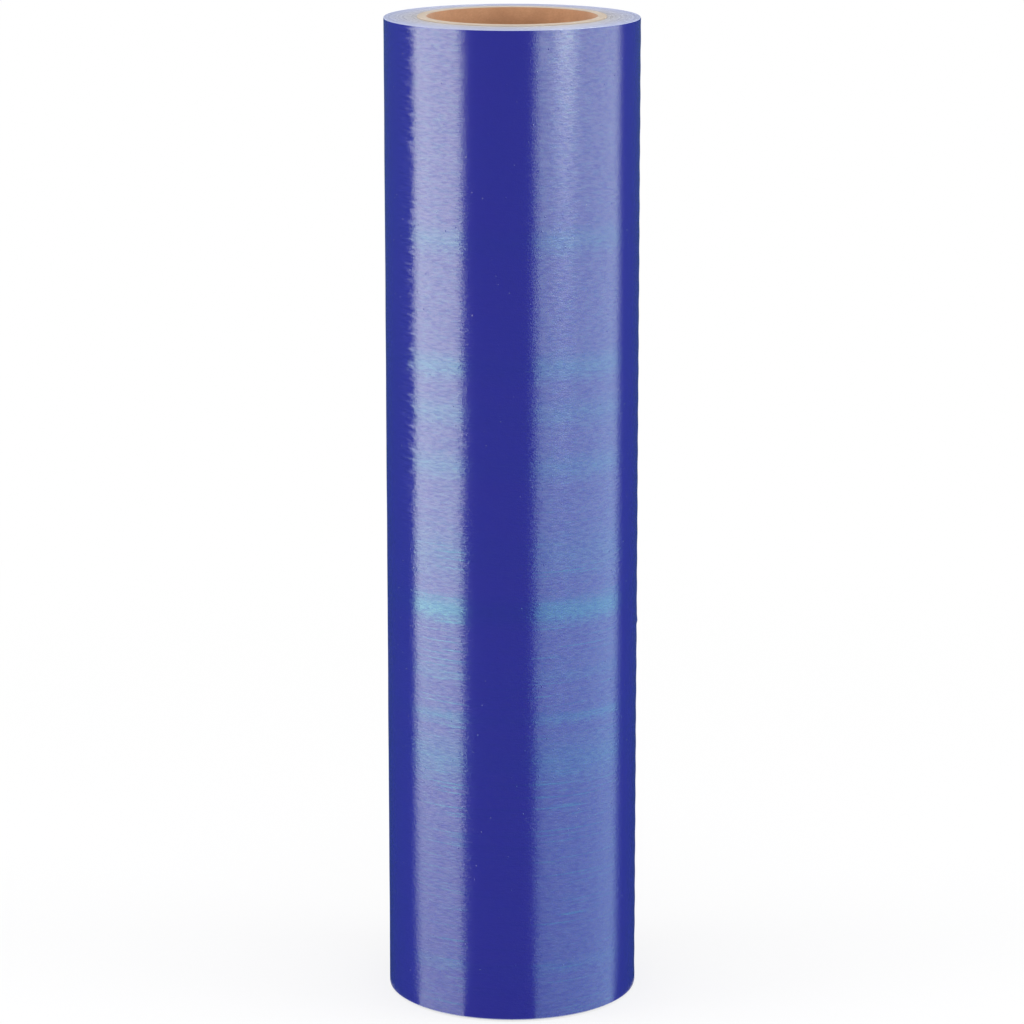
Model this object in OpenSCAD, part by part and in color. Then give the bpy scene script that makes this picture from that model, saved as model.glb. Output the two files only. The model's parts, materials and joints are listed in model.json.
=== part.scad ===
// Protective film roll: a long blue film wound on a spiral-wound cardboard tube.
// The roll stands on its end, with +Z up its axis and the origin at the centre of its lower end.
// Sizes are in millimetres.

/* [Cardboard tube] */
// Bore of the tube, which takes a dispenser's shaft
bore_d = 76.2; // [50:0.1:160]
// Wall of the tube
tube_wall = 4.1; // [2:0.1:12]
// How far the tube stands out of the film at each end
tube_overhang = 0.5; // [0.1:0.1:5]
// Width of the paper strip that winds up into the tube's inner ply
strip_w = 120; // [80:1:180]
// Thickness of one paper ply
ply_t = 0.45; // [0.2:0.05:0.8]
// Gap left between neighbouring edges of the inner strip
seam_gap = 0.8; // [0.3:0.1:2]
// Direction in which that gap comes out at the upper end, around the axis from +X
seam_exit = 270; // [0:1:359]

/* [Film] */
// Width of the film, which sets the length of the roll
film_w = 450; // [200:1:1250]
// Depth of wound film on the tube
film_build = 15; // [6:0.1:60]
// Thickness of one turn of film
film_t = 0.05; // [0.02:0.01:0.2]
// Direction that the film's free end faces, around the axis from +X
tail_angle = 0; // [0:1:359]

/* [Ends of the roll] */
// Number of bands of turns that show on each end
bands = 18; // [6:1:30]
// Furthest that a band of turns wanders along the axis
band_wander = 0.4; // [0.1:0.05:1.5]
// Depth of the outermost turns that stand proud as a rim
rim_t = 0.5; // [0.2:0.1:2]

/* [Smoothness] */
// Segments in a full circle
circle_steps = 180; // [72:12:360]
// Steps in each turn of the seam
seam_steps = 36; // [24:12:72]

/* [Hidden] */

bore_r = bore_d / 2;
tube_r = bore_r + tube_wall;
film_r = tube_r + film_build;
tube_len = film_w + band_wander + 2 * tube_overhang;

// The seam climbs as fast as lets the strip's edges meet once a turn. It starts below the lower end.
bore_round = PI * bore_d;
seam_angle = asin(strip_w / bore_round);
seam_pitch = bore_round * tan(seam_angle);
seam_height = seam_gap / cos(seam_angle);
seam_low = -2 * seam_height;
seam_turns = (tube_len - seam_low) / seam_pitch;

// How far a cutter reaches past the face that it opens.
clear = 1;
// The angle, in degrees, that scatters the bands without a visible order.
scatter = 137.5;
// The share of a band's depth by which its edges are scattered.
band_jitter = 0.35;

kraft = [0.76, 0.55, 0.38];
film_blue = [0.16, 0.17, 0.55];

// Radius at which band i begins. The last band is the rim.
function band_start(i) =
    i == 0 ? tube_r
  : i == bands ? film_r - rim_t
  : tube_r + (film_build - rim_t) * (i + band_jitter * sin(scatter * 2 * i)) / bands;

// How far the turns of band i are pushed up the axis, at both ends alike. The rim is pushed furthest.
function band_shift(i) = i == bands ? band_wander : band_wander * (1 + sin(scatter * i)) / 2;

// Both edges of each band in turn, as radius and height over a face at height z. The first
// and the last reach past the wound film, into the tube's place and out into the open.
function band_steps(z) = [
    for (i = [0 : bands])
        let (from = i == 0 ? tube_r - clear : band_start(i))
        let (to = i == bands ? film_r + clear : band_start(i + 1))
            for (r = [from, to])
                [r, z + band_shift(i)]
];

// Outline of the wound film seen along the axis: two half circles, each with its centre
// a little to one side, so the radius grows by one turn of film and drops at the free end.
module spiral_outline() {
    for (side = [1, -1])
        intersection() {
            translate([-side * film_t / 4, 0])
                circle(r = film_r - film_t / 2 - side * film_t / 4);
            translate([-2 * film_r, side > 0 ? 0 : -2 * film_r])
                square([4 * film_r, 2 * film_r]);
        }
}

// What is cut away past one end of the film, from its stepped face at height z out to height past.
module end_waste(z, past) {
    rotate_extrude()
        polygon(concat(band_steps(z), [[film_r + clear, past], [tube_r - clear, past]]));
}

// All the turns of film, as one solid.
module film_roll() {
    color(film_blue)
        difference() {
            rotate([0, 0, tail_angle])
                linear_extrude(tube_len)
                    spiral_outline();
            translate([0, 0, -clear])
                cylinder(r = tube_r, h = tube_len + 2 * clear);
            end_waste(tube_overhang, -clear);
            end_waste(tube_overhang + film_w, tube_len + clear);
        }
}

// One corner of the seam's section, k steps along it.
function seam_point(k, r, z) =
    let (turn = seam_exit + 360 * (k / seam_steps - seam_turns))
    [r * cos(turn), r * sin(turn), z + seam_pitch * k / seam_steps];

// The open seam of the inner ply, as the body that a strip of its section sweeps up the bore.
module seam_sweep() {
    steps = ceil(seam_turns * seam_steps);
    inner = bore_r - clear;
    outer = bore_r + ply_t;
    high = seam_low + seam_height;
    section = [[inner, seam_low], [outer, seam_low], [outer, high], [inner, high]];
    corners = len(section);
    points = [
        for (k = [0 : steps])
            for (c = section)
                seam_point(k, c[0], c[1])
    ];
    sides = [
        for (k = [0 : steps - 1])
            for (c = [0 : corners - 1])
                let (a = k * corners + c, b = k * corners + (c + 1) % corners)
                    for (face = [[a, b, b + corners], [a, b + corners, a + corners]])
                        face
    ];
    first_end = [for (c = [corners - 1 : -1 : 0]) c];
    last_end = [for (c = [0 : corners - 1]) steps * corners + c];
    polyhedron(points = points, faces = concat([first_end], sides, [last_end]));
}

// The tube of wound paper plies, open from end to end.
module cardboard_tube() {
    color(kraft)
        difference() {
            cylinder(r = tube_r, h = tube_len);
            translate([0, 0, -clear])
                cylinder(r = bore_r, h = tube_len + 2 * clear);
            seam_sweep();
        }
}

$fn = circle_steps;
cardboard_tube();
film_roll();
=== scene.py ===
"""A roll of blue surface protection film on a cardboard tube, standing on its end in a plain studio.

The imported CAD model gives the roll's place and sizes. This script gives both of its pieces finer
meshes of the same form and real finishes, and sets up the camera, the lamps and the plain pale floor.
Lengths are in metres and angles in degrees. An azimuth is counted around the roll's axis, from the
side that faces the camera, and grows towards +X.
"""

import json
import logging
import math
import sys
from collections.abc import Sequence
from dataclasses import dataclass
from enum import Enum, IntEnum
from typing import Any

import bpy
import numpy as np
from mathutils import Euler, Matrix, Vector

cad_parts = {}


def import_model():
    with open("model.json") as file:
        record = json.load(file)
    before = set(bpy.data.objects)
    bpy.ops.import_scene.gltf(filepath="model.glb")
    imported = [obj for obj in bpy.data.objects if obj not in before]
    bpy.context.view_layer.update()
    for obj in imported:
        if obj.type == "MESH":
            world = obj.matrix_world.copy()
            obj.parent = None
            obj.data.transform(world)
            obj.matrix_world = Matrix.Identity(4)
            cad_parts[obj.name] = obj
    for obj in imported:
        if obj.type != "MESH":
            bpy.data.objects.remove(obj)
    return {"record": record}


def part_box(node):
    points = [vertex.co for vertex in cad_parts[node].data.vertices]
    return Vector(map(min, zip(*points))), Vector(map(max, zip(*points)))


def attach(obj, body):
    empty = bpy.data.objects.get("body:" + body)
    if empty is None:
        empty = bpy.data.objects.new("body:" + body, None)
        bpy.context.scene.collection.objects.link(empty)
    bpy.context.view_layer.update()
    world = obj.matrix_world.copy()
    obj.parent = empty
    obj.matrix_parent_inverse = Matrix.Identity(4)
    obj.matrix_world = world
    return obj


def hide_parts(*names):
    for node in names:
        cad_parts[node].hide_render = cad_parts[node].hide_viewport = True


log = logging.getLogger("film_roll")

MM = 0.001
FULL_TURN = 360.0
# No two faces meet at a larger angle, so a mesh that is sharp from here is smooth all over.
NEVER_SHARP = 180.0
# A noise runs from 0 to 1 around this value.
NOISE_MIDDLE = 0.5
WHITE = (1.0, 1.0, 1.0, 1.0)


class End(Enum):
    """The two ends of the roll."""

    LOWER = 0
    UPPER = 1


class FilmFinish(IntEnum):
    """The finishes of the wound film, in the order of its mesh's material slots."""

    WALL = 0
    EDGES = 1


class TubeFinish(IntEnum):
    """The finishes of the cardboard tube, in the order of its mesh's material slots."""

    LINER = 0
    PLY_EDGES = 1


def linear(colour: str) -> tuple[float, float, float, float]:
    """Turns an sRGB hex colour to linear light.

    Args:
        colour: The colour, such as "#32328d".

    Returns:
        Red, green, blue and an alpha of 1.
    """
    channels = [int(colour[i : i + 2], 16) / 255 for i in (1, 3, 5)]
    lit = [c / 12.92 if c <= 0.04045 else ((c + 0.055) / 1.055) ** 2.4 for c in channels]
    return (lit[0], lit[1], lit[2], 1.0)


def add_node(
    tree: bpy.types.NodeTree,
    kind: str,
    inputs: dict[str | int, Any] | None = None,
    **settings: Any,
) -> bpy.types.Node:
    """Adds a node to a tree, with its settings, values and links.

    Args:
        tree: The node tree.
        kind: Blender's name for the type of node.
        inputs: What feeds each input, by the input's name or number: a value, or another
            node's output.
        settings: The node's own settings.

    Returns:
        The new node.
    """
    node = tree.nodes.new(kind)
    for name, value in settings.items():
        setattr(node, name, value)
    for key, value in (inputs or {}).items():
        if isinstance(value, bpy.types.NodeSocket):
            tree.links.new(value, node.inputs[key])
        else:
            node.inputs[key].default_value = value
    return node


def new_material(name: str) -> tuple[bpy.types.Material, bpy.types.NodeTree]:
    """Makes a material that holds no nodes yet.

    Args:
        name: The material's name.

    Returns:
        The material and its node tree.
    """
    material = bpy.data.materials.new(name)
    material.use_nodes = True
    material.node_tree.nodes.clear()
    return material, material.node_tree


def close_material(tree: bpy.types.NodeTree, shader: bpy.types.Node) -> None:
    """Links a shader to a new material output."""
    add_node(tree, "ShaderNodeOutputMaterial", {"Surface": shader.outputs[0]})


def counted_in(tree: bpy.types.NodeTree, size: tuple[float, float, float]) -> bpy.types.NodeSocket:
    """Gives the coordinates for a pattern whose features have a real size.

    Args:
        tree: The material's node tree.
        size: The size of one feature along X, Y and Z.

    Returns:
        Object coordinates, counted in features.
    """
    place = add_node(tree, "ShaderNodeTexCoord")
    scale = Vector([1 / length for length in size])
    mapping = add_node(tree, "ShaderNodeMapping", {"Vector": place.outputs["Object"], "Scale": scale})
    return mapping.outputs["Vector"]


class Draft:
    """The points and faces of a mesh while it is being made."""

    def __init__(self) -> None:
        """Starts an empty mesh."""
        self.points: list[np.ndarray] = []
        self.count = 0
        self.faces: list[tuple[int, ...]] = []
        self.finishes: list[int] = []

    def add_points(self, points: np.ndarray) -> np.ndarray:
        """Adds points, and returns their numbers in the same layout.

        Args:
            points: An array of any layout whose last axis is X, Y and Z.

        Returns:
            The points' numbers, as an array without that last axis.
        """
        layout = points.shape[:-1]
        amount = int(np.prod(layout))
        numbers = np.arange(self.count, self.count + amount).reshape(layout)
        self.points.append(points.reshape(-1, 3))
        self.count += amount
        return numbers

    def add_face(self, numbers: Sequence[int], finish: int) -> None:
        """Adds one face.

        Args:
            numbers: The numbers of its corners.
            finish: Its material slot.
        """
        self.faces.append(tuple(int(number) for number in numbers))
        self.finishes.append(finish)

    def add_grid(self, numbers: np.ndarray, finish: int) -> None:
        """Joins a layout of points with faces, each wound from its row to the next.

        Args:
            numbers: Rows of point numbers. A square whose corners meet becomes a triangle.
            finish: The material slot of the faces.
        """
        for near, far in zip(numbers[:-1], numbers[1:]):
            for square in zip(near[:-1], near[1:], far[1:], far[:-1]):
                corners = list(dict.fromkeys(square))
                if len(corners) > 2:
                    self.add_face(corners, finish)

    def build(self, name: str, sharp_from: float) -> bpy.types.Object:
        """Makes the object, smooth apart from its sharper edges.

        Args:
            name: The object's name.
            sharp_from: The angle between two faces from which their edge is sharp.

        Returns:
            The new object, linked to the scene.
        """
        mesh = bpy.data.meshes.new(name)
        mesh.from_pydata(np.concatenate(self.points).tolist(), [], self.faces)
        mesh.polygons.foreach_set("material_index", self.finishes)
        mesh.polygons.foreach_set("use_smooth", [True] * len(self.faces))
        mesh.set_sharp_from_angle(angle=math.radians(sharp_from))
        mesh.validate()
        piece = bpy.data.objects.new(name, mesh)
        bpy.context.scene.collection.objects.link(piece)
        return piece


def ring_points(radius: np.ndarray, azimuth: np.ndarray, height: np.ndarray) -> np.ndarray:
    """Places points around the roll's axis.

    Args:
        radius: Distances from the axis.
        azimuth: Azimuths, in degrees.
        height: Heights.

    Returns:
        The points, in the layout that the three arrays share.
    """
    turn = np.radians(azimuth)
    x = radius * np.sin(turn)
    y = -radius * np.cos(turn)
    return np.stack(np.broadcast_arrays(x, y, height), axis=-1)


@dataclass(frozen=True)
class Marks:
    """A noise of marks that run around the roll, with the length, height and depth of one mark.

    Its detail and contrast say how much finer noise lies in each mark.
    """

    length: float
    height: float
    depth: float = 0.0
    detail: float = 2.0
    contrast: float = 0.6

    def noise(self, tree: bpy.types.NodeTree) -> bpy.types.NodeSocket:
        """Draws the marks.

        Args:
            tree: The material's node tree.

        Returns:
            The noise, from 0 to 1.
        """
        place = counted_in(tree, (self.length, self.length, self.height))
        settings = {"Vector": place, "Scale": 1.0, "Detail": self.detail, "Roughness": self.contrast}
        return add_node(tree, "ShaderNodeTexNoise", settings).outputs["Fac"]


@dataclass(frozen=True)
class CyanBand:
    """A stretch of the roll's height in which the film mirrors light as cyan instead of lilac."""

    height: float
    spread: float
    strength: float


@dataclass(frozen=True)
class BlueFilm:
    """The film's outside: low-density polyethylene with a blue pigment, blown, stretched and wound tight.

    The pigment gives the deep blue. Many clear turns lie over each other and mirror more light than
    one face would, so the specular level is full and the IOR is above the 1.51 of polyethylene. The
    mirrored light is tinted lilac and, in bands and threads where the web is a little thinner, cyan.
    Draw lines run around the roll. They dull that light a little and spread it up and down, while its
    upright edges stay crisp, with a fine fray. Gathers of slack film break the edge on the upper left,
    and a few gels stand up as specks.

    One pixel of the picture covers 0.45 mm of the roll. Real draw lines are 0.05 to 0.2 mm high, so
    the marks are drawn one to two pixels high, as coarse as they need to be to show.
    """

    # The colours of the film itself, in soft clouds, and of the light that it mirrors.
    body: str = "#2b2b8f"
    body_cool: str = "#282d90"
    lilac: str = "#d2d0b4"
    cyan: str = "#c2ffcd"
    clouds: Marks = Marks(60 * MM, 25 * MM)
    # The gloss, which is turned so that it spreads light up and down.
    ior: float = 1.635
    specular_level: float = 1.0
    roughness: float = 0.2
    anisotropy: float = 1.0
    quarter_turn: float = 0.25
    # The fine relief, from the longest marks to the shortest.
    draw_lines: Marks = Marks(3 * MM, 1.0 * MM, 0.07 * MM, 3.0)
    ripples: Marks = Marks(2.5 * MM, 0.9 * MM, 0.06 * MM, 1.0)
    grain: Marks = Marks(0.6 * MM, 0.6 * MM, 0.05 * MM)
    # The upper part of the roll is wound smoother.
    smooth_from: float = 250 * MM
    smooth_to: float = 400 * MM
    smooth_share: float = 0.35
    # Each thin ring of the wall is turned a little aside.
    fray: Marks = Marks(12 * MM, 0.35 * MM)
    fray_tilt: float = 0.065
    # The gels, which are few and stand up as tiny domes.
    gel_spacing: float = 5 * MM
    gel_radius: float = 0.45 * MM
    gel_height: float = 0.12 * MM
    # The gathers, and how much of its one-way gloss the slack film keeps in them.
    gathers: Marks = Marks(18 * MM, 3 * MM, 0.95 * MM, 1.0)
    gather_azimuth: float = -56.0
    gather_reach: float = 8.0
    gather_from: float = 200 * MM
    gather_to: float = 260 * MM
    slack_anisotropy: float = 0.45
    slack_full: float = 0.15
    # Patches and threads of cyan. The threads fade in from where the roll is no longer smooth.
    hue: Marks = Marks(5 * MM, 1.0 * MM, 0.0, 3.0)
    hue_from: float = 0.45
    hue_full: float = 1.283
    threads: Marks = Marks(40 * MM, 0.7 * MM, 0.0, 0.0)
    thread_from: float = 0.68
    thread_full: float = 0.74
    threads_below: float = 200 * MM
    # How much light the draw lines leave, and between which values of their noise they dull it.
    dull_share: float = 0.7
    dull_at: float = 0.35
    bright_at: float = 0.6
    # The cyan bands, from the foot up, and how far the draw lines shift their borders.
    band_wobble: float = 8 * MM
    bands: tuple[CyanBand, ...] = (
        CyanBand(25 * MM, 4 * MM, 0.35),
        CyanBand(122 * MM, 14 * MM, 0.5),
        CyanBand(142 * MM, 4 * MM, 0.6),
        CyanBand(162 * MM, 4 * MM, 0.3),
        CyanBand(191.5 * MM, 8 * MM, 1.1),
        CyanBand(218 * MM, 14 * MM, 0.25),
        CyanBand(257 * MM, 8 * MM, 0.4),
        CyanBand(281 * MM, 8 * MM, 0.35),
        CyanBand(302 * MM, 8 * MM, 0.5),
        CyanBand(358 * MM, 8 * MM, 0.35),
    )

    def material(self, roll_height: float) -> bpy.types.Material:
        """Makes the material.

        Args:
            roll_height: The roll's height, which the cyan bands are spread over.

        Returns:
            The new material.
        """
        material, tree = new_material("blue_polyethylene_film")
        place = add_node(tree, "ShaderNodeTexCoord")
        split = add_node(tree, "ShaderNodeSeparateXYZ", {"Vector": place.outputs["Object"]})
        around = add_node(tree, "ShaderNodeTangent", direction_type="RADIAL", axis="Z")
        tangent = around.outputs["Tangent"]
        lines = self.draw_lines.noise(tree)
        gathers = self.gathered(tree, split)
        slack = add_node(tree, "ShaderNodeMath", {0: gathers}, operation="ABSOLUTE")
        anisotropy = add_node(
            tree,
            "ShaderNodeMapRange",
            {
                "Value": slack.outputs[0],
                "From Max": self.slack_full,
                "To Min": self.anisotropy,
                "To Max": self.slack_anisotropy,
            },
        )
        body = add_node(
            tree,
            "ShaderNodeMix",
            {
                "Factor": self.clouds.noise(tree),
                "A": linear(self.body),
                "B": linear(self.body_cool),
            },
            data_type="RGBA",
        )
        shader = add_node(
            tree,
            "ShaderNodeBsdfPrincipled",
            {
                "Base Color": body.outputs["Result"],
                "Roughness": self.roughness,
                "IOR": self.ior,
                "Specular IOR Level": self.specular_level,
                "Specular Tint": self.mirror_tint(tree, split, lines, roll_height),
                "Anisotropic": anisotropy.outputs["Result"],
                "Anisotropic Rotation": self.quarter_turn,
                "Tangent": tangent,
                "Normal": self.relief(tree, split, lines, gathers, tangent),
            },
        )
        close_material(tree, shader)
        return material

    def relief(
        self,
        tree: bpy.types.NodeTree,
        split: bpy.types.Node,
        lines: bpy.types.NodeSocket,
        gathers: bpy.types.NodeSocket,
        tangent: bpy.types.NodeSocket,
    ) -> bpy.types.NodeSocket:
        """Builds the surface's fine relief: gathers, draw lines, ripples, gels and grain.

        Args:
            tree: The material's node tree.
            split: The object coordinates, split.
            lines: The draw lines.
            gathers: The height of the gathers.
            tangent: The direction around the roll.

        Returns:
            The bent normal.
        """
        roughness = add_node(
            tree,
            "ShaderNodeMapRange",
            {
                "Value": split.outputs["Z"],
                "From Min": self.smooth_from,
                "From Max": self.smooth_to,
                "To Min": 1.0,
                "To Max": self.smooth_share,
            },
        ).outputs["Result"]
        normal = self.frayed(tree, tangent)
        for height, depth, strength in (
            (gathers, self.gathers.depth, 1.0),
            (lines, self.draw_lines.depth, roughness),
            (self.ripples.noise(tree), self.ripples.depth, roughness),
            (self.gels(tree), self.gel_height, 1.0),
            (self.grain.noise(tree), self.grain.depth, 1.0),
        ):
            bump = add_node(
                tree,
                "ShaderNodeBump",
                {"Height": height, "Distance": depth, "Strength": strength, "Normal": normal},
            )
            normal = bump.outputs["Normal"]
        return normal

    def frayed(self, tree: bpy.types.NodeTree, tangent: bpy.types.NodeSocket) -> bpy.types.NodeSocket:
        """Turns each thin ring of the wall a little aside, which frays a mirrored lamp's upright edges.

        Args:
            tree: The material's node tree.
            tangent: The direction around the roll.

        Returns:
            The turned normal.
        """
        fray = self.fray.noise(tree)
        aside = add_node(
            tree, "ShaderNodeMath", {0: fray, 1: NOISE_MIDDLE}, operation="SUBTRACT"
        ).outputs[0]
        tilt = add_node(tree, "ShaderNodeMath", {0: aside, 1: self.fray_tilt}, operation="MULTIPLY")
        lean = add_node(
            tree, "ShaderNodeVectorMath", {0: tangent, "Scale": tilt.outputs[0]}, operation="SCALE"
        ).outputs[0]
        face = add_node(tree, "ShaderNodeNewGeometry").outputs["Normal"]
        turned = add_node(tree, "ShaderNodeVectorMath", {0: face, 1: lean}, operation="ADD").outputs[0]
        return add_node(tree, "ShaderNodeVectorMath", {0: turned}, operation="NORMALIZE").outputs[0]

    def gels(self, tree: bpy.types.NodeTree) -> bpy.types.NodeSocket:
        """Draws the gels, specks of resin that didn't melt and stand up from the film as tiny domes.

        Args:
            tree: The material's node tree.

        Returns:
            Their height, from 0 to 1.
        """
        place = counted_in(tree, (self.gel_spacing,) * 3)
        spots = add_node(tree, "ShaderNodeTexVoronoi", {"Vector": place, "Scale": 1.0})
        dome = add_node(
            tree,
            "ShaderNodeMapRange",
            {
                "Value": spots.outputs["Distance"],
                "From Max": self.gel_radius / self.gel_spacing,
                "To Min": 1.0,
                "To Max": 0.0,
            },
            interpolation_type="SMOOTHSTEP",
        )
        return dome.outputs["Result"]

    def gathered(self, tree: bpy.types.NodeTree, split: bpy.types.Node) -> bpy.types.NodeSocket:
        """Draws the row of small gathers on the upper left of the wall, where the web was drawn in.

        Args:
            tree: The material's node tree.
            split: The object coordinates, split.

        Returns:
            Their height, around 0.
        """
        towards = add_node(tree, "ShaderNodeMath", {0: split.outputs["Y"], 1: -1.0}, operation="MULTIPLY")
        azimuth = add_node(
            tree, "ShaderNodeMath", {0: split.outputs["X"], 1: towards.outputs[0]}, operation="ARCTAN2"
        ).outputs[0]
        drawn = self.gathers.noise(tree)
        height = add_node(
            tree, "ShaderNodeMath", {0: drawn, 1: NOISE_MIDDLE}, operation="SUBTRACT"
        ).outputs[0]
        middle = math.radians(self.gather_azimuth)
        reach = math.radians(self.gather_reach)
        for value, start, stop in (
            (azimuth, middle - reach, middle),
            (azimuth, middle + reach, middle),
            (split.outputs["Z"], self.gather_from, self.gather_to),
        ):
            mask = add_node(
                tree,
                "ShaderNodeMapRange",
                {"Value": value, "From Min": start, "From Max": stop},
                interpolation_type="SMOOTHSTEP",
            )
            height = add_node(
                tree, "ShaderNodeMath", {0: height, 1: mask.outputs["Result"]}, operation="MULTIPLY"
            ).outputs[0]
        return height

    def mirror_tint(
        self,
        tree: bpy.types.NodeTree,
        split: bpy.types.Node,
        lines: bpy.types.NodeSocket,
        roll_height: float,
    ) -> bpy.types.NodeSocket:
        """Colours the mirrored light: lilac, or cyan in bands, patches and threads.

        Args:
            tree: The material's node tree.
            split: The object coordinates, split.
            lines: The draw lines, which also dull it.
            roll_height: The roll's height.

        Returns:
            The tint.
        """
        patches = add_node(
            tree,
            "ShaderNodeMapRange",
            {"Value": self.hue.noise(tree), "From Min": self.hue_from, "From Max": self.hue_full},
        ).outputs["Result"]
        amount = self.banded(tree, split, lines, roll_height)
        for part in (patches, self.threaded(tree, split)):
            amount = add_node(
                tree, "ShaderNodeMath", {0: amount, 1: part}, operation="ADD", use_clamp=True
            ).outputs[0]
        tint = add_node(
            tree,
            "ShaderNodeMix",
            {"Factor": amount, "A": linear(self.lilac), "B": linear(self.cyan)},
            data_type="RGBA",
        ).outputs["Result"]
        gloss = add_node(
            tree,
            "ShaderNodeMapRange",
            {
                "Value": lines,
                "From Min": self.dull_at,
                "From Max": self.bright_at,
                "To Min": self.dull_share,
                "To Max": 1.0,
            },
        ).outputs["Result"]
        return add_node(
            tree, "ShaderNodeVectorMath", {0: tint, "Scale": gloss}, operation="SCALE"
        ).outputs[0]

    def banded(
        self,
        tree: bpy.types.NodeTree,
        split: bpy.types.Node,
        lines: bpy.types.NodeSocket,
        roll_height: float,
    ) -> bpy.types.NodeSocket:
        """Draws the cyan bands around the roll.

        Args:
            tree: The material's node tree.
            split: The object coordinates, split.
            lines: The draw lines, which make the bands' borders ragged.
            roll_height: The roll's height.

        Returns:
            How cyan the film is at each height.
        """
        wobble = add_node(
            tree,
            "ShaderNodeMath",
            {0: lines, 1: self.band_wobble, 2: split.outputs["Z"]},
            operation="MULTIPLY_ADD",
        ).outputs[0]
        share = add_node(tree, "ShaderNodeMath", {0: wobble, 1: 1 / roll_height}, operation="MULTIPLY")
        ramp = add_node(tree, "ShaderNodeValToRGB", {"Fac": share.outputs[0]})
        marks = [
            (band.height + side * band.spread, 0.0 if side else band.strength)
            for band in self.bands
            for side in (-1, 0, 1)
        ]
        stops = ramp.color_ramp.elements
        while len(stops) < len(marks):
            stops.new(1.0)
        for stop, (height, strength) in zip(stops, marks):
            stop.position = (height + self.band_wobble / 2) / roll_height
            stop.color = (strength, strength, strength, 1.0)
        return ramp.outputs["Color"]

    def threaded(self, tree: bpy.types.NodeTree, split: bpy.types.Node) -> bpy.types.NodeSocket:
        """Draws the few thin cyan threads on the lower part of the wall.

        Args:
            tree: The material's node tree.
            split: The object coordinates, split.

        Returns:
            How cyan the threads make the film.
        """
        threads = add_node(
            tree,
            "ShaderNodeMapRange",
            {
                "Value": self.threads.noise(tree),
                "From Min": self.thread_from,
                "From Max": self.thread_full,
            },
        ).outputs["Result"]
        low_down = add_node(
            tree,
            "ShaderNodeMapRange",
            {
                "Value": split.outputs["Z"],
                "From Min": self.smooth_from,
                "From Max": self.threads_below,
            },
        ).outputs["Result"]
        return add_node(
            tree, "ShaderNodeMath", {0: threads, 1: low_down}, operation="MULTIPLY"
        ).outputs[0]


@dataclass(frozen=True)
class SlitEdges:
    """The film's ends: hundreds of turns of polyethylene, cut by a slitting knife.

    Their edges lie as fine rings. They scatter light, so the blue pales to a greyish lilac. The outer
    turns are painted bluer, for the light that also comes in through the wall. A turn is 0.05 mm thick,
    so the rings are drawn 0.45 mm wide, nine turns together, to show.
    """

    tube_r: float
    film_r: float
    inner: str = "#b7b4b8"
    # Painted light: the outer colour is bluer for the light that comes in through the wall.
    outer: str = "#aab0cd"
    ring_shade: float = 0.14
    ring_width: float = 0.45 * MM
    ring_depth: float = 0.02 * MM
    ring_detail: float = 3.0
    ring_contrast: float = 0.7
    roughness: float = 0.55
    ior: float = 1.51

    def material(self) -> bpy.types.Material:
        """Makes the material.

        Returns:
            The new material.
        """
        material, tree = new_material("slit_film_edges")
        place = add_node(tree, "ShaderNodeTexCoord")
        flat = add_node(
            tree,
            "ShaderNodeVectorMath",
            {0: place.outputs["Object"], 1: Vector((1, 1, 0))},
            operation="MULTIPLY",
        )
        away = add_node(tree, "ShaderNodeVectorMath", {0: flat.outputs[0]}, operation="LENGTH")
        radius = away.outputs["Value"]
        rings = add_node(
            tree,
            "ShaderNodeTexNoise",
            {
                "W": radius,
                "Scale": 1 / self.ring_width,
                "Detail": self.ring_detail,
                "Roughness": self.ring_contrast,
            },
            noise_dimensions="1D",
        ).outputs["Fac"]
        outwards = add_node(
            tree,
            "ShaderNodeMapRange",
            {"Value": radius, "From Min": self.tube_r, "From Max": self.film_r},
        )
        # Painted light: the blend towards the wall paints in the light that comes in through it.
        colour = add_node(
            tree,
            "ShaderNodeMix",
            {
                "Factor": outwards.outputs["Result"],
                "A": linear(self.inner),
                "B": linear(self.outer),
            },
            data_type="RGBA",
        )
        shade = add_node(
            tree,
            "ShaderNodeMapRange",
            {"Value": rings, "To Min": 1 - self.ring_shade, "To Max": 1 + self.ring_shade},
        )
        ringed = add_node(
            tree,
            "ShaderNodeVectorMath",
            {0: colour.outputs["Result"], "Scale": shade.outputs["Result"]},
            operation="SCALE",
        )
        bump = add_node(tree, "ShaderNodeBump", {"Height": rings, "Distance": self.ring_depth})
        shader = add_node(
            tree,
            "ShaderNodeBsdfPrincipled",
            {
                "Base Color": ringed.outputs[0],
                "Roughness": self.roughness,
                "IOR": self.ior,
                "Normal": bump.outputs["Normal"],
            },
        )
        close_material(tree, shader)
        return material


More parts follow.
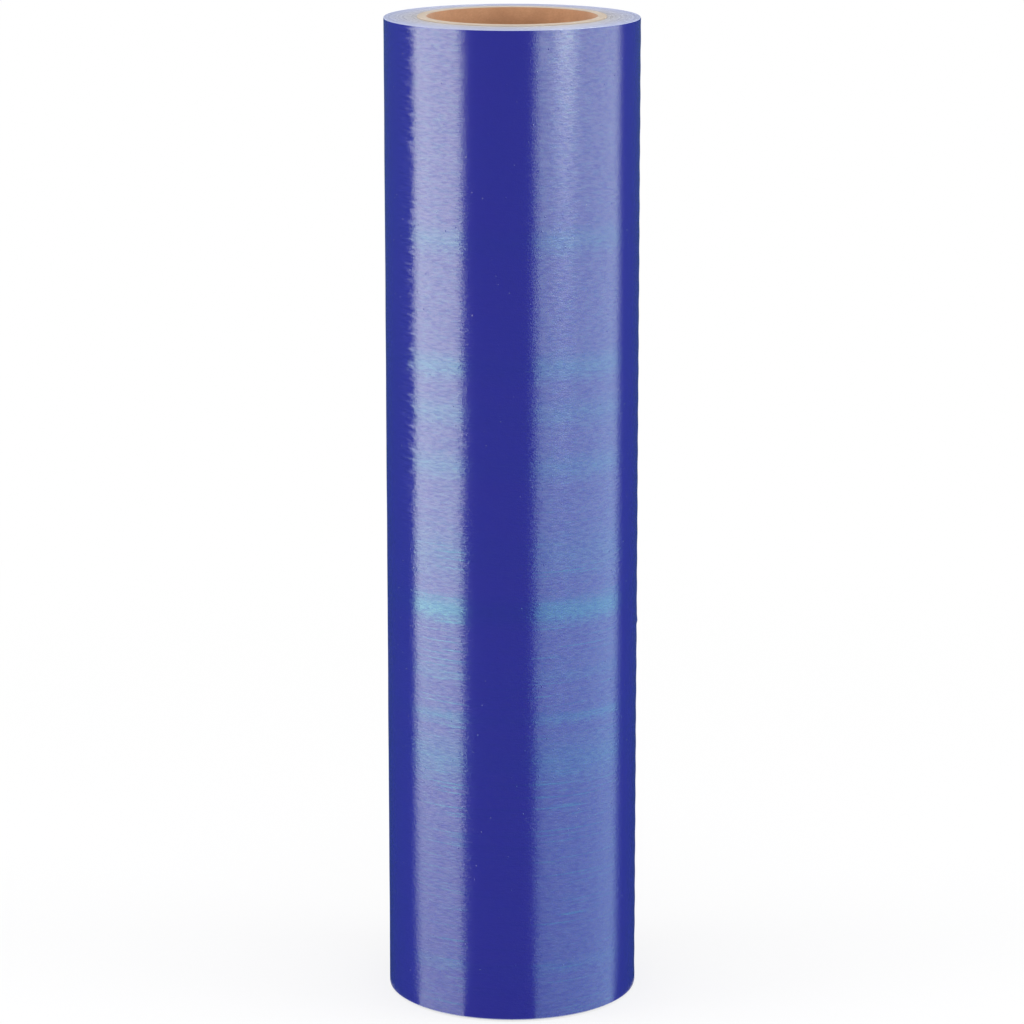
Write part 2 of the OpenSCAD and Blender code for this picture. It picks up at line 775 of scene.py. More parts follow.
@dataclass(frozen=True)
class Paper:
    """A paper of the tube's plies: matt, with felted fibres and soft clouds of paler and darker pulp.

    A fibre is about 0.03 mm thick, so the fibres are drawn as clumps that are wide enough to show.
    Loose fibre ends give a fuzz that brightens the paper where it is seen from aslant.
    """

    name: str
    pale: str
    dark: str
    clump: tuple[float, float, float]
    fuzz: float
    clump_depth: float = 0.03 * MM
    clump_detail: float = 5.0
    clump_contrast: float = 0.65
    cloud: float = 9 * MM
    blend_from: float = 0.25
    fuzz_roughness: float = 0.4
    roughness: float = 0.9
    ior: float = 1.5

    def material(self) -> bpy.types.Material:
        """Makes the material.

        Returns:
            The new material.
        """
        material, tree = new_material(self.name)
        fibres = add_node(
            tree,
            "ShaderNodeTexNoise",
            {
                "Vector": counted_in(tree, self.clump),
                "Scale": 1.0,
                "Detail": self.clump_detail,
                "Roughness": self.clump_contrast,
            },
        ).outputs["Fac"]
        clouds = add_node(
            tree, "ShaderNodeTexNoise", {"Vector": counted_in(tree, (self.cloud,) * 3), "Scale": 1.0}
        ).outputs["Fac"]
        blend = add_node(
            tree,
            "ShaderNodeMath",
            {0: fibres, 1: clouds, 2: self.blend_from},
            operation="MULTIPLY_ADD",
        )
        colour = add_node(
            tree,
            "ShaderNodeMix",
            {"Factor": blend.outputs[0], "A": linear(self.dark), "B": linear(self.pale)},
            data_type="RGBA",
        )
        bump = add_node(tree, "ShaderNodeBump", {"Height": fibres, "Distance": self.clump_depth})
        shader = add_node(
            tree,
            "ShaderNodeBsdfPrincipled",
            {
                "Base Color": colour.outputs["Result"],
                "Roughness": self.roughness,
                "IOR": self.ior,
                "Sheen Weight": self.fuzz,
                "Sheen Roughness": self.fuzz_roughness,
                "Normal": bump.outputs["Normal"],
            },
        )
        close_material(tree, shader)
        return material


# The bore is lined with unbleached kraft paper, rolled smooth. It looks warm brown, with a soft bloom.
KRAFT_LINER = Paper(
    name="kraft_liner",
    pale="#d8a378",
    dark="#926240",
    clump=(1.2 * MM, 1.2 * MM, 0.7 * MM),
    fuzz=0.5,
)

# The saw bares the inside of the grey core board of which the other plies are. It looks pale and chalky.
SAWN_CORE_BOARD = Paper(
    name="sawn_core_board",
    pale="#c8bcae",
    dark="#aa9784",
    clump=(0.4 * MM, 0.4 * MM, 0.4 * MM),
    fuzz=0.0,
)


@dataclass
class RollPiece:
    """One of the roll's two pieces, which stands for a CAD node."""

    node: str
    slot: str
    finishes: dict[IntEnum, bpy.types.Material]

    def paint(self, piece: bpy.types.Object) -> None:
        """Gives the piece its material slots, in the order of its finishes."""
        for finish in sorted(self.finishes):
            piece.data.materials.append(self.finishes[finish])

    def dress(self, piece: bpy.types.Object) -> None:
        """Puts the finished piece in its CAD node's place and reports it.

        Args:
            piece: The piece.
        """
        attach(piece, "root")
        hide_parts(self.node)
        log.info("%s: %d faces, stands for %s", piece.name, len(piece.data.polygons), self.node)


@dataclass
class WoundFilm(RollPiece):
    """The wound film: its wall, the free end of its last turn and the stepped turns of its two ends."""

    tube_r: float
    film_r: float
    lower_face: float
    upper_face: float
    film_t: float = 0.05 * MM
    # The ends: bands of turns that stand a little in or out, with fine ridges and a rounded rim.
    band_count: int = 18
    band_wander: float = 0.4 * MM
    rim_t: float = 0.5 * MM
    scatter: float = 137.5
    band_jitter: float = 0.35
    step_bevel: float = 0.04 * MM
    ridge_height: float = 0.05 * MM
    rim_round: float = 0.35 * MM
    rim_points: int = 4
    sharp_from: float = 40.0
    # The wall and its soft unevenness.
    columns: int = 240
    row_step: float = 2.4 * MM
    wall_wave: float = 0.035 * MM
    wave_length: float = 85 * MM
    wave_reach: float = 12 * MM
    slow_lobes: int = 3
    slow_beat: float = 0.37
    slow_phase: float = 1.0
    quick_lobes: int = 5
    quick_climb: float = 2.3
    quick_share: float = 0.4
    # The free end of the last turn, which is wavy, stands off the roll and has one small nick.
    tail_azimuth: float = 90.0
    tail_columns: int = 6
    tail_lift: float = 0.16 * MM
    tail_wave: float = 0.07 * MM
    tail_wave_length: float = 12.5 * MM
    nick_height: float = 173 * MM
    nick_length: float = 4 * MM
    nick_lift: float = 0.5 * MM
    nick_rows: int = 7
    nick_lead: float = 0.5

    def band_start(self, band: int) -> float:
        """Finds where a band of turns begins. The last band is the rim.

        Args:
            band: The band's number, counted outwards from the tube.

        Returns:
            The radius of its first turn.
        """
        if band == 0:
            return self.tube_r
        if band >= self.band_count:
            return self.film_r - self.rim_t
        depth = self.film_r - self.rim_t - self.tube_r
        jitter = self.band_jitter * math.sin(math.radians(self.scatter * 2 * band))
        return self.tube_r + depth * (band + jitter) / self.band_count

    def band_shift(self, band: int) -> float:
        """Finds how far the turns of a band are pushed up the axis, at both ends alike.

        Args:
            band: The band's number, counted outwards from the tube.

        Returns:
            The shift.
        """
        if band >= self.band_count:
            return self.band_wander
        return self.band_wander * (1 + math.sin(math.radians(self.scatter * band))) / 2

    def end_profile(self, end: End) -> np.ndarray:
        """Lists the rings on one end of the film, from the tube out to the wall.

        Args:
            end: The end of the roll.

        Returns:
            Rows of radius and height. The last one lies on the wall.
        """
        face = self.lower_face if end is End.LOWER else self.upper_face
        inwards = 1 if end is End.LOWER else -1
        rings: list[tuple[float, float]] = []
        for band in range(self.band_count + 1):
            start = self.band_start(band) + (self.step_bevel if band else 0.0)
            stop = self.band_start(band + 1) - self.step_bevel
            height = face + self.band_shift(band)
            ridge = height + self.ridge_height * math.sin(math.radians(self.scatter * 3 * band))
            if band < self.band_count:
                rings += [(start, height), ((start + stop) / 2, ridge), (stop, height)]
            else:
                rings += [(start, height), (self.film_r - self.rim_round, height)]
        rim_height = rings[-1][1]
        for step in range(1, self.rim_points + 1):
            bend = math.radians(90 * step / self.rim_points)
            radius = self.film_r - self.rim_round * (1 - math.sin(bend))
            rings.append((radius, rim_height + inwards * self.rim_round * (1 - math.cos(bend))))
        return np.array(rings)

    def row_heights(self, low: float, high: float) -> np.ndarray:
        """Lists the wall's rings, which are closer together along the nick and for a lead below it.

        Args:
            low: The height of the wall's foot.
            high: The height of its top.

        Returns:
            The rings' heights.
        """
        rows = np.linspace(low, high, round((high - low) / self.row_step) + 1)
        near = self.nick_height + self.nick_length * np.linspace(-self.nick_lead, 1.0, self.nick_rows)
        return np.unique(np.concatenate([rows, near]).round(7))

    def unevenness(self, azimuth: np.ndarray, rows: np.ndarray) -> np.ndarray:
        """Finds how far the wall lies under its full radius, which makes the mirrored lamps waver.

        Args:
            azimuth: The columns' azimuths.
            rows: The rows' heights. The unevenness fades out towards the first and the last.

        Returns:
            A row of offsets for each height, none of them above zero.
        """
        fade = np.clip(np.minimum(rows - rows[0], rows[-1] - rows) / self.wave_reach, 0, 1)
        turn = np.radians(azimuth)[None, :]
        climb = 2 * math.pi * rows[:, None] / self.wave_length
        slow = np.sin(self.slow_lobes * turn + climb) * np.sin(self.slow_beat * climb + self.slow_phase)
        quick = self.quick_share * np.sin(self.quick_lobes * turn - self.quick_climb * climb)
        return self.wall_wave * fade[:, None] * (slow + quick - 1.0 - self.quick_share)

    def tail_rise(self, height: np.ndarray) -> np.ndarray:
        """Finds how far the free end of the film stands off the turn below it.

        Args:
            height: The rows' heights.

        Returns:
            The rise at each height.
        """
        wave = self.tail_wave * np.sin(2 * math.pi * height / self.tail_wave_length)
        nick = np.clip((height - self.nick_height) / self.nick_length, 0, 1)
        torn = np.where((nick > 0) & (nick < 1), (1 - nick) * self.nick_lift, 0.0)
        return self.tail_lift + wave + torn

    def build(self) -> bpy.types.Object:
        """Makes the mesh of the film.

        Returns:
            The film's object, with its two finishes.
        """
        draft = Draft()
        lower = self.end_profile(End.LOWER)
        upper = self.end_profile(End.UPPER)
        rows = self.row_heights(lower[-1][1], upper[-1][1])
        azimuth = self.tail_azimuth + FULL_TURN / self.columns * np.arange(self.columns)
        lower_rings = self.add_end(draft, lower, azimuth)
        upper_rings = self.add_end(draft, upper, azimuth)
        # The wall of the turn below the last one. Its foot and its top are the ends' outermost rings.
        radius = self.film_r - self.film_t + self.unevenness(azimuth, rows)
        wall = draft.add_points(ring_points(radius, azimuth[None, :], rows[:, None]))
        base = np.vstack([lower_rings[-1], wall[1:-1], upper_rings[-1]])
        draft.add_grid(self.closed(lower_rings)[::-1], FilmFinish.EDGES)
        draft.add_grid(self.closed(upper_rings), FilmFinish.EDGES)
        self.add_last_turn(draft, base, azimuth, rows)
        film = draft.build("wound_film", self.sharp_from)
        self.paint(film)
        return film

    @staticmethod
    def closed(rings: np.ndarray) -> np.ndarray:
        """Repeats the first column of closed rings after the last."""
        return np.hstack([rings, rings[:, :1]])

    def add_end(self, draft: Draft, profile: np.ndarray, azimuth: np.ndarray) -> np.ndarray:
        """Adds the points of one end.

        Args:
            draft: The mesh.
            profile: Radius and height of each ring.
            azimuth: The columns' azimuths.

        Returns:
            The point numbers of the rings, from the tube outwards.
        """
        radius = np.minimum(profile[:, :1], self.film_r - self.film_t)
        return draft.add_points(ring_points(radius, azimuth[None, :], profile[:, 1:]))

    def add_last_turn(
        self, draft: Draft, base: np.ndarray, azimuth: np.ndarray, rows: np.ndarray
    ) -> None:
        """Adds the last turn, from where it leaves the turn below to its lifted free end.

        Args:
            draft: The mesh.
            base: Point numbers of the wall below, row by row.
            azimuth: The columns' azimuths. The free end lies over the first one.
            rows: The rows' heights.
        """
        leave = self.columns - self.tail_columns
        turns = np.append(azimuth, azimuth[0] + FULL_TURN)
        places = np.arange(self.columns + 1)
        grown = np.clip(places / leave, 0, 1)[None, :] * self.film_t
        lifted = np.clip((places - leave) / self.tail_columns, 0, 1)[None, :]
        rise = lifted**2 * self.tail_rise(rows)[:, None]
        radius = self.film_r - self.film_t + self.unevenness(turns, rows) + grown + rise
        outside = draft.add_points(ring_points(radius[:, 1:], turns[None, 1:], rows[:, None]))
        outside = np.hstack([base[:, :1], outside])
        under = (radius - self.film_t)[:, leave + 1 :]
        inside = draft.add_points(ring_points(under, turns[None, leave + 1 :], rows[:, None]))
        inside = np.hstack([base[:, leave : leave + 1], inside])
        bared = np.hstack([base[:, leave:], base[:, :1]])
        draft.add_grid(outside, FilmFinish.WALL)
        draft.add_grid(np.hstack([outside[:, -1:], inside[:, -1:]]), FilmFinish.WALL)
        draft.add_grid(inside[:, ::-1], FilmFinish.WALL)
        draft.add_grid(bared, FilmFinish.WALL)
        # The cut edge of the last turn closes its gap to the ends.
        for row, order in ((0, -1), (-1, 1)):
            inner_edge = np.concatenate([base[row, : leave + 1], inside[row, 1:]])
            draft.add_grid(np.vstack([inner_edge, outside[row]])[::order], FilmFinish.EDGES)


@dataclass
class CardboardTube(RollPiece):
    """The tube that the film is wound on: spiral-wound paper plies, cut square at both ends."""

    bore_r: float
    tube_r: float
    height: float
    ply_t: float = 0.45 * MM
    ply_groove: float = 0.06 * MM
    edge_round: float = 0.25 * MM
    columns: int = 180
    bore_rows: int = 60
    ends_sharp_from: float = 50.0
    # The open seam between the edges of the paper strip that forms the inner ply.
    strip_w: float = 120 * MM
    seam_gap: float = 0.8 * MM
    seam_exit: float = 0.0
    cutter_steps: int = 60
    cutter_reach: float = 1 * MM
    seam_sharp_from: float = 30.0

    def end_profile(self, end: End) -> list[tuple[float, float]]:
        """Lists the rings on one cut end, from the bore outwards, with a groove between plies.

        Args:
            end: The end of the tube.

        Returns:
            The radius and height of each ring.
        """
        face = 0.0 if end is End.LOWER else self.height
        inwards = 1 if end is End.LOWER else -1
        rounded = face + inwards * self.edge_round
        third = self.edge_round / 3
        wall = self.tube_r - self.bore_r
        plies = round(wall / self.ply_t)
        rings = [(self.bore_r, rounded), (self.bore_r + third, face + inwards * third)]
        rings.append((self.bore_r + self.edge_round, face))
        for ply in range(1, plies):
            joint = self.bore_r + wall * ply / plies
            rings.append((joint - self.ply_groove, face))
            rings.append((joint, face + inwards * self.ply_groove))
            rings.append((joint + self.ply_groove, face))
        rings.append((self.tube_r - self.edge_round, face))
        rings.append((self.tube_r, rounded))
        return rings

    def build(self) -> bpy.types.Object:
        """Makes the tube's mesh, with the open seam of its inner ply cut into the bore.

        Returns:
            The tube's object, with its two finishes.
        """
        draft = Draft()
        azimuth = FULL_TURN / self.columns * np.arange(self.columns)
        lower = self.end_profile(End.LOWER)
        upper = self.end_profile(End.UPPER)
        heights = np.linspace(upper[0][1], lower[0][1], self.bore_rows)[1:-1]
        profile = np.array(lower + upper[::-1] + [(self.bore_r, height) for height in heights])
        numbers = draft.add_points(ring_points(profile[:, :1], azimuth[None, :], profile[:, 1:]))
        numbers = np.hstack([numbers, numbers[:, :1]])
        numbers = np.vstack([numbers, numbers[:1]])
        ends = len(lower) + len(upper)
        # The outer wall lies between the two ends and is hidden under the film.
        draft.add_grid(numbers[:ends][::-1], TubeFinish.PLY_EDGES)
        draft.add_grid(numbers[ends - 1 :][::-1], TubeFinish.LINER)
        tube = draft.build("spiral_wound_tube", self.ends_sharp_from)
        self.paint(tube)
        self.cut_seam(tube)
        return tube

    def seam_cutter(self) -> bpy.types.Object:
        """Makes the body that the seam's section sweeps as it climbs the bore.

        Returns:
            The cutter.
        """
        around = 2 * math.pi * self.bore_r
        slope = math.asin(self.strip_w / around)
        pitch = around * math.tan(slope)
        gap = self.seam_gap / math.cos(slope)
        # It starts below the lower end, and is counted back from where it comes out of the upper one.
        low = -2 * gap
        turns = (self.height - low) / pitch
        steps = np.arange(math.ceil(turns * self.cutter_steps) + 1)
        azimuth = self.seam_exit + FULL_TURN * (steps / self.cutter_steps - turns)
        climb = low + pitch * steps / self.cutter_steps
        inner = self.bore_r - self.cutter_reach
        outer = self.bore_r + self.ply_t
        section = np.array([[inner, 0], [outer, 0], [outer, gap], [inner, gap]])
        draft = Draft()
        points = ring_points(section[:, :1], azimuth[None, :], climb[None, :] + section[:, 1:])
        numbers = draft.add_points(points)
        draft.add_grid(np.vstack([numbers, numbers[:1]]), TubeFinish.LINER)
        draft.add_face(numbers[:, 0], TubeFinish.LINER)
        draft.add_face(numbers[::-1, -1], TubeFinish.LINER)
        return draft.build("seam_cutter", self.seam_sharp_from)

    def cut_seam(self, tube: bpy.types.Object) -> None:
        """Cuts the seam into the bore, with sharp edges.

        Args:
            tube: The tube's object.
        """
        cutter = self.seam_cutter()
        cut = tube.modifiers.new("seam", "BOOLEAN")
        cut.operation = "DIFFERENCE"
        cut.solver = "EXACT"
        cut.object = cutter
        bpy.context.view_layer.update()
        shape = tube.evaluated_get(bpy.context.evaluated_depsgraph_get())
        mesh = bpy.data.meshes.new_from_object(shape)
        mesh.set_sharp_from_angle(angle=math.radians(self.seam_sharp_from))
        tube.modifiers.clear()
        uncut = tube.data
        tube.data = mesh
        bpy.data.meshes.remove(uncut)
        bpy.data.objects.remove(cutter)
        mesh.name = tube.name


@dataclass(frozen=True)
class View:
    """The camera, at the angle and distance from which the roll is seen."""

    distance: float = 1800 * MM
    height: float = 635 * MM
    pitch: float = 12.83
    lens_mm: float = 142.1
    sensor_mm: float = 36.0

    def place(self) -> None:
        """Makes the camera and sets it as the scene's."""
        data = bpy.data.cameras.new("camera")
        data.sensor_width = self.sensor_mm
        data.lens = self.lens_mm
        camera = bpy.data.objects.new("camera", data)
        camera.location = (0.0, -self.distance, self.height)
        camera.rotation_euler = Euler((math.radians(90 - self.pitch), 0.0, 0.0))
        bpy.context.scene.collection.objects.link(camera)
        bpy.context.scene.camera = camera

    def mirrored(self, azimuth: float, roll_r: float, ring_r: float) -> float:
        """Finds what the roll's wall mirrors to the camera.

        Args:
            azimuth: The azimuth of the place on the wall.
            roll_r: The roll's radius.
            ring_r: The radius of the ring on which the softboxes stand.

        Returns:
            The azimuth at which the mirrored ray meets that ring.
        """
        turn = math.radians(azimuth)
        outwards = Vector((math.sin(turn), -math.cos(turn)))
        point = outwards * roll_r
        ray = (point - Vector((0.0, -self.distance))).normalized()
        ray = ray.reflect(outwards)
        along = point.dot(ray)
        travel = -along + math.sqrt(along**2 - roll_r**2 + ring_r**2)
        hit = point + ray * travel
        return math.degrees(math.atan2(hit.x, -hit.y))


@dataclass(frozen=True)
class Glow:
    """The light that a screen gives off at one height, as a colour and how many times white it is.

    Its first upright edge may give a share of that.
    """

    height: float
    colour: str
    radiance: float = 1.0
    start_share: float = 1.0


@dataclass(frozen=True)
class Softbox:
    """A curved sheet of lit diffuser. Its edges and their fades are given by where the roll mirrors them.

    Its sweep lies on the floor before it, where the wall's lowest stretch mirrors it.
    """

    name: str
    mirrored_from: float
    mirrored_to: float
    fade_from: float
    fade_to: float
    low: Glow
    high: Glow
    # How much of the softbox's light its sweep gives off, at the roll and at the ring.
    sweep_near: float = 0.0
    sweep_far: float = 0.0
    bottom: float = 1 * MM
    top: float = 800 * MM
    # How far it hangs inside the ring, before another softbox.
    inset: float = 0.0


@dataclass(frozen=True)
class Flag:
    """A dark sheet that stands between two softboxes, and what little light it gives off.

    Where it has a sweep, that lies on the floor before it.
    """

    name: str
    low: Glow
    high: Glow
    sweep: bool = False


@dataclass(frozen=True)
class Lamp:
    """A round lamp that faces the roll's middle."""

    name: str
    azimuth: float
    elevation: float
    power: float
    size: float = 0.9
    distance: float = 1.7


@dataclass
class Studio:
    """The floor, the world and everything that lights the roll or is mirrored in it."""

    view: View
    roll_r: float
    roll_middle: float = 225 * MM
    ring_r: float = 600 * MM
    screen_columns: int = 33
    # The pale floor, which is a little darker close to the roll.
    floor_r: float = 14.0
    floor_points: int = 96
    floor_colour: str = "#e8e8e8"
    floor_near: float = 0.72
    near_reach: float = 150 * MM
    far_reach: float = 900 * MM
    # The mat and the sweeps lie just over the floor and just clear of the roll.
    mat_gap: float = 1 * MM
    mat_height: float = 0.3 * MM
    sweep_height: float = 0.6 * MM
    mat_columns: int = 132
    sky_light: float = 0.96
    lamps: tuple[Lamp, ...] = (
        Lamp("top_lamp", 0.0, 80.0, 5.0),
        Lamp("left_lamp", -75.0, 22.0, 7.5),
        Lamp("right_lamp", 75.0, 22.0, 7.5),
    )
    flag_bottom: float = 1 * MM
    flag_top: float = 1300 * MM
    front: Flag = Flag("front_flag", Glow(0.0, "#000000"), Glow(1 * MM, "#000000"))
    back: Flag = Flag("back_flag", Glow(100 * MM, "#304c60"), Glow(501 * MM, "#4c6664"), sweep=True)
    left: Softbox = Softbox(
        name="left_softbox",
        mirrored_from=-49.2,
        mirrored_to=-22.8,
        fade_from=0.2,
        fade_to=0.3,
        low=Glow(50 * MM, "#e8f1ff", 5.55),
        high=Glow(450 * MM, "#f9f9ff", 5.2),
        sweep_near=0.41,
        sweep_far=0.56,
    )
    right: Softbox = Softbox(
        name="right_softbox",
        mirrored_from=10.0,
        mirrored_to=58.5,
        fade_from=1.5,
        fade_to=6.0,
        low=Glow(50 * MM, "#c0e1ff", 3.8, 0.61),
        high=Glow(450 * MM, "#eff7ff", 3.3, 1.17),
        sweep_near=0.67,
        sweep_far=0.72,
    )
    strip: Softbox = Softbox(
        name="strip_softbox",
        mirrored_from=17.5,
        mirrored_to=31.0,
        fade_from=5.0,
        fade_to=3.5,
        low=Glow(400 * MM, "#f4fff0", 0.0),
        high=Glow(600 * MM, "#f4fff0", 16.2),
        bottom=400 * MM,
        inset=5 * MM,
    )

    def build(self) -> None:
        """Makes the whole studio."""
        self.light_world()
        self.lay_floor()
        self.lay_mat()
        for box in (self.left, self.right, self.strip):
            self.hang_softbox(box)
        self.stand_flag(self.front, self.left.mirrored_to, self.right.mirrored_from)
        self.stand_flag(self.back, self.right.mirrored_to, self.left.mirrored_from + FULL_TURN)
        for lamp in self.lamps:
            self.hang_lamp(lamp)

    def light_world(self) -> None:
        """Lights the world plainly, white where the camera or a reflection sees it."""
        world = bpy.data.worlds.new("studio")
        world.use_nodes = True
        tree = world.node_tree
        tree.nodes.clear()
        strength = add_node(
            tree,
            "ShaderNodeMix",
            {"Factor": self.seen(tree), "A": self.sky_light, "B": 1.0},
            data_type="FLOAT",
        )
        shader = add_node(
            tree,
            "ShaderNodeBackground",
            {"Color": WHITE, "Strength": strength.outputs["Result"]},
        )
        add_node(tree, "ShaderNodeOutputWorld", {"Surface": shader.outputs[0]})
        bpy.context.scene.world = world

    @staticmethod
    def seen(tree: bpy.types.NodeTree) -> bpy.types.NodeSocket:
        """Tells a ray that sees from one that gathers light.

        Args:
            tree: The node tree.

        Returns:
            1 for a ray of the camera, of a reflection or through something clear, and 0 for the rest.
        """
        path = add_node(tree, "ShaderNodeLightPath")
        seen = path.outputs["Is Camera Ray"]
        for other in ("Is Glossy Ray", "Is Transmission Ray"):
            seen = add_node(
                tree, "ShaderNodeMath", {0: seen, 1: path.outputs[other]}, operation="MAXIMUM"
            ).outputs[0]
        return seen

    def lay_floor(self) -> None:
        """Lays the pale floor. It glows to the camera and to reflections, and keeps the roll's shadow."""
        bpy.ops.mesh.primitive_circle_add(
            vertices=self.floor_points, radius=self.floor_r, fill_type="NGON"
        )
        floor = bpy.context.object
        floor.name = "floor"
        material, tree = new_material("pale_floor")
        place = add_node(tree, "ShaderNodeTexCoord")
        away = add_node(tree, "ShaderNodeVectorMath", {0: place.outputs["Object"]}, operation="LENGTH")
        share = add_node(
            tree,
            "ShaderNodeMapRange",
            {
                "Value": away.outputs["Value"],
                "From Min": self.near_reach,
                "From Max": self.far_reach,
                "To Min": self.floor_near,
                "To Max": 1.0,
            },
            interpolation_type="SMOOTHSTEP",
        ).outputs["Result"]
        glowing = add_node(tree, "ShaderNodeMath", {0: self.seen(tree), 1: share}, operation="MULTIPLY")
        paint = add_node(tree, "ShaderNodeBsdfDiffuse", {"Color": linear(self.floor_colour)})
        glow = add_node(tree, "ShaderNodeEmission", {"Color": WHITE, "Strength": 1.0})
        both = add_node(
            tree,
            "ShaderNodeMixShader",
            {0: glowing.outputs[0], 1: paint.outputs[0], 2: glow.outputs[0]},
        )
        close_material(tree, both)
        floor.data.materials.append(material)

    def on_ring(self, mirrored: float) -> float:
        """Finds what the wall mirrors on the ring.

        Args:
            mirrored: An azimuth on the wall, which may go past a full turn.

        Returns:
            The azimuth on the ring.
        """
        if mirrored > FULL_TURN / 2:
            return self.on_ring(mirrored - FULL_TURN) + FULL_TURN
        return self.view.mirrored(mirrored, self.roll_r, self.ring_r)

    @staticmethod
    def screen(name: str, points: np.ndarray, material: bpy.types.Material) -> None:
        """Makes a sheet that only reflections see. The world and the lamps light the rest.

        Args:
            name: The sheet's name.
            points: Rows of points. A point's share of the way along its row is its U, and its
                row's share of the way through the rows is its V.
            material: The sheet's material.
        """
        draft = Draft()
        draft.add_grid(draft.add_points(points), 0)
        sheet = draft.build(name, NEVER_SHARP)
        sheet.data.materials.append(material)
        rows, columns = points.shape[:2]
        out, across = np.meshgrid(np.linspace(0, 1, rows), np.linspace(0, 1, columns), indexing="ij")
        shares = np.stack([across, out], axis=-1).reshape(-1, 2)
        layer = sheet.data.uv_layers.new(name="across_and_out")
        for loop, place in zip(sheet.data.loops, layer.uv):
            place.vector = shares[loop.vertex_index].tolist()
        sheet.visible_camera = False
        sheet.visible_diffuse = False
        sheet.visible_shadow = False

    def lay_mat(self) -> None:
        """Lays a black mat around the roll, so that its wall doesn't mirror the pale floor."""
        material, tree = new_material("black_mat")
        close_material(tree, add_node(tree, "ShaderNodeEmission", {"Strength": 0.0}))
        reach = np.array([[self.roll_r + self.mat_gap], [self.ring_r]])
        azimuth = np.linspace(0.0, FULL_TURN, self.mat_columns)[None, :]
        self.screen("black_mat", ring_points(reach, azimuth, np.array([[self.mat_height]])), material)

    def hang_softbox(self, box: Softbox) -> None:
        """Hangs a softbox, and lays its sweep where it has one.

        Args:
            box: The softbox.
        """
        mirrored = np.linspace(box.mirrored_from, box.mirrored_to, self.screen_columns)
        ring = np.array([self.on_ring(edge) for edge in mirrored])
        height = np.array([[box.bottom], [box.top]])
        points = ring_points(np.array([[self.ring_r - box.inset]]), ring[None, :], height)
        self.screen(box.name, points, self.box_light(box, box.name, 1.0, 1.0))
        if box.sweep_far:
            name = box.name + "_sweep"
            light = self.box_light(box, name, box.sweep_near, box.sweep_far)
            self.lay_sweep(name, mirrored, ring, light)

    def lay_sweep(
        self, name: str, near: np.ndarray, far: np.ndarray, material: bpy.types.Material
    ) -> None:
        """Lays a sweep on the floor, from the roll out to the ring.

        Args:
            name: The sweep's name.
            near: The azimuths of its columns at the roll.
            far: Their azimuths at the ring.
            material: Its material.
        """
        reach = np.array([[self.roll_r + self.mat_gap], [self.ring_r]])
        points = ring_points(reach, np.vstack([near, far]), np.array([[self.sweep_height]]))
        self.screen(name, points, material)

    @staticmethod
    def glow_colour(
        tree: bpy.types.NodeTree, low: Glow, high: Glow
    ) -> tuple[bpy.types.NodeSocket, bpy.types.NodeSocket]:
        """Blends the colours of two glows by height.

        Args:
            tree: The material's node tree.
            low: The glow low down.
            high: The glow high up.

        Returns:
            The share of the way up from the one to the other, and the colour.
        """
        place = add_node(tree, "ShaderNodeTexCoord")
        split = add_node(tree, "ShaderNodeSeparateXYZ", {"Vector": place.outputs["Object"]})
        rise = add_node(
            tree,
            "ShaderNodeMapRange",
            {"Value": split.outputs["Z"], "From Min": low.height, "From Max": high.height},
        ).outputs["Result"]
        colour = add_node(
            tree,
            "ShaderNodeMix",
            {"Factor": rise, "A": linear(low.colour), "B": linear(high.colour)},
            data_type="RGBA",
        )
        return rise, colour.outputs["Result"]

    def box_light(self, box: Softbox, name: str, near: float, far: float) -> bpy.types.Material:
        """Makes the light of a softbox, which changes with height and fades towards its two edges.

        Args:
            box: The softbox.
            name: The material's name.
            near: How much of the softbox's light the sheet's first row gives off.
            far: How much of it the last row gives off.

        Returns:
            The new material.
        """
        material, tree = new_material(name)
        rise, colour = self.glow_colour(tree, box.low, box.high)
        place = add_node(tree, "ShaderNodeTexCoord")
        shares = add_node(tree, "ShaderNodeSeparateXYZ", {"Vector": place.outputs["UV"]})
        across, out = shares.outputs["X"], shares.outputs["Y"]
        light, last, dimmed = (
            add_node(
                tree, "ShaderNodeMix", {"Factor": by, "A": start, "B": stop}, data_type="FLOAT"
            ).outputs["Result"]
            for by, start, stop in (
                (rise, box.low.radiance * box.low.start_share, box.high.radiance * box.high.start_share),
                (rise, box.low.radiance, box.high.radiance),
                (out, near, far),
            )
        )
        light = add_node(
            tree, "ShaderNodeMix", {"Factor": across, "A": light, "B": last}, data_type="FLOAT"
        ).outputs["Result"]
        width = box.mirrored_to - box.mirrored_from
        fades = [
            add_node(
                tree,
                "ShaderNodeMapRange",
                {"Value": across, "From Min": start, "From Max": stop},
                interpolation_type="SMOOTHSTEP",
            ).outputs["Result"]
            for start, stop in ((0.0, box.fade_from / width), (1.0, 1.0 - box.fade_to / width))
        ]
        for part in (dimmed, *fades):
            light = add_node(tree, "ShaderNodeMath", {0: light, 1: part}, operation="MULTIPLY").outputs[0]
        glow = add_node(tree, "ShaderNodeEmission", {"Color": colour, "Strength": light})
        if box.inset:
            # It hangs before another softbox, whose light shines through it.
            clear = add_node(tree, "ShaderNodeBsdfTransparent")
            glow = add_node(tree, "ShaderNodeAddShader", {0: glow.outputs[0], 1: clear.outputs[0]})
        close_material(tree, glow)
        return material

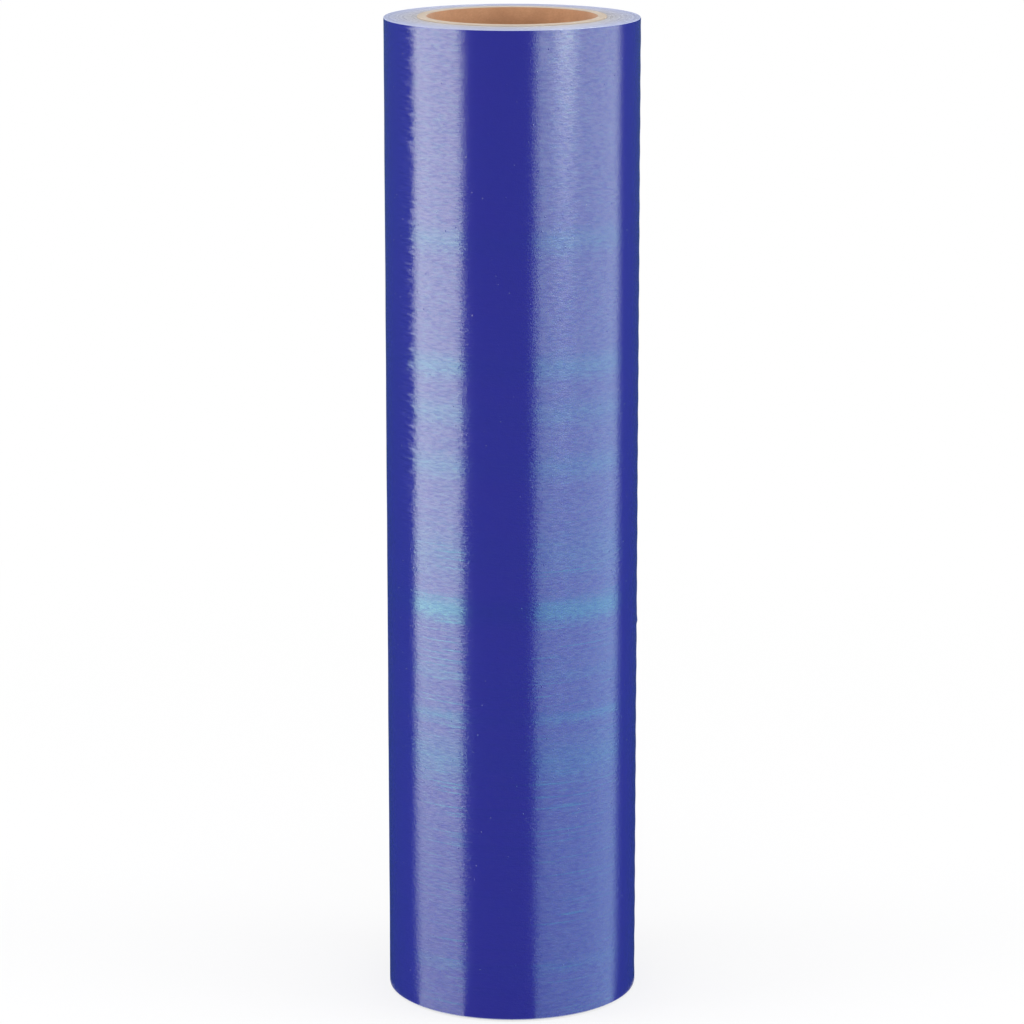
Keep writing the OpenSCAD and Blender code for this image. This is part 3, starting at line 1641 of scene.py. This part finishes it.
    def stand_flag(self, flag: Flag, start: float, stop: float) -> None:
        """Stands a dark flag between two softboxes.

        Args:
            flag: The flag.
            start: Where the roll mirrors one of its edges.
            stop: Where the roll mirrors the other one.
        """
        material, tree = new_material(flag.name)
        colour = self.glow_colour(tree, flag.low, flag.high)[1]
        close_material(tree, add_node(tree, "ShaderNodeEmission", {"Color": colour}))
        azimuth = np.linspace(self.on_ring(start), self.on_ring(stop), self.screen_columns)
        height = np.array([[self.flag_bottom], [self.flag_top]])
        points = ring_points(np.array([[self.ring_r]]), azimuth[None, :], height)
        self.screen(flag.name, points, material)
        if flag.sweep:
            near = np.linspace(start, stop, self.screen_columns)
            self.lay_sweep(flag.name + "_sweep", near, azimuth, material)

    def hang_lamp(self, lamp: Lamp) -> None:
        """Hangs a lamp, which shows in no reflection.

        Args:
            lamp: The lamp.
        """
        data = bpy.data.lights.new(lamp.name, "AREA")
        data.shape = "DISK"
        data.size = lamp.size
        data.energy = lamp.power
        light = bpy.data.objects.new(lamp.name, data)
        turn = math.radians(lamp.azimuth)
        rise = math.radians(lamp.elevation)
        level = Vector((math.sin(turn), -math.cos(turn), 0.0)) * math.cos(rise)
        outwards = level + Vector((0.0, 0.0, math.sin(rise)))
        light.location = Vector((0.0, 0.0, self.roll_middle)) + outwards * lamp.distance
        light.rotation_euler = (-outwards).to_track_quat("-Z", "Y").to_euler()
        light.visible_camera = False
        light.visible_glossy = False
        bpy.context.scene.collection.objects.link(light)


def main() -> None:
    """Loads the frame, builds the pieces in order and sets up the picture."""
    logging.basicConfig(level=logging.INFO, format="%(name)s: %(message)s", stream=sys.stdout)
    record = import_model()["record"]
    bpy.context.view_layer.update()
    bore = next(mount for mount in record["mounts"] if mount["name"] == "tube_bore")
    tube_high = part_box("cardboard_tube")[1]
    film_low, film_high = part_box("film_roll")
    bpy.context.scene.view_settings.view_transform = "Standard"
    film = WoundFilm(
        node="film_roll",
        slot="blue_film",
        finishes={
            FilmFinish.WALL: BlueFilm().material(film_high.z),
            FilmFinish.EDGES: SlitEdges(tube_high.x, film_high.x).material(),
        },
        tube_r=tube_high.x,
        film_r=film_high.x,
        lower_face=film_low.z,
        upper_face=film_high.z - WoundFilm.band_wander,
    )
    film.dress(film.build())
    tube = CardboardTube(
        node="cardboard_tube",
        slot="cardboard",
        finishes={
            TubeFinish.LINER: KRAFT_LINER.material(),
            TubeFinish.PLY_EDGES: SAWN_CORE_BOARD.material(),
        },
        bore_r=bore["dims"]["r_mm"] * MM,
        tube_r=tube_high.x,
        height=tube_high.z,
    )
    tube.dress(tube.build())
    view = View()
    view.place()
    Studio(view=view, roll_r=film_high.x).build()


if __name__ == "__main__":
    main()
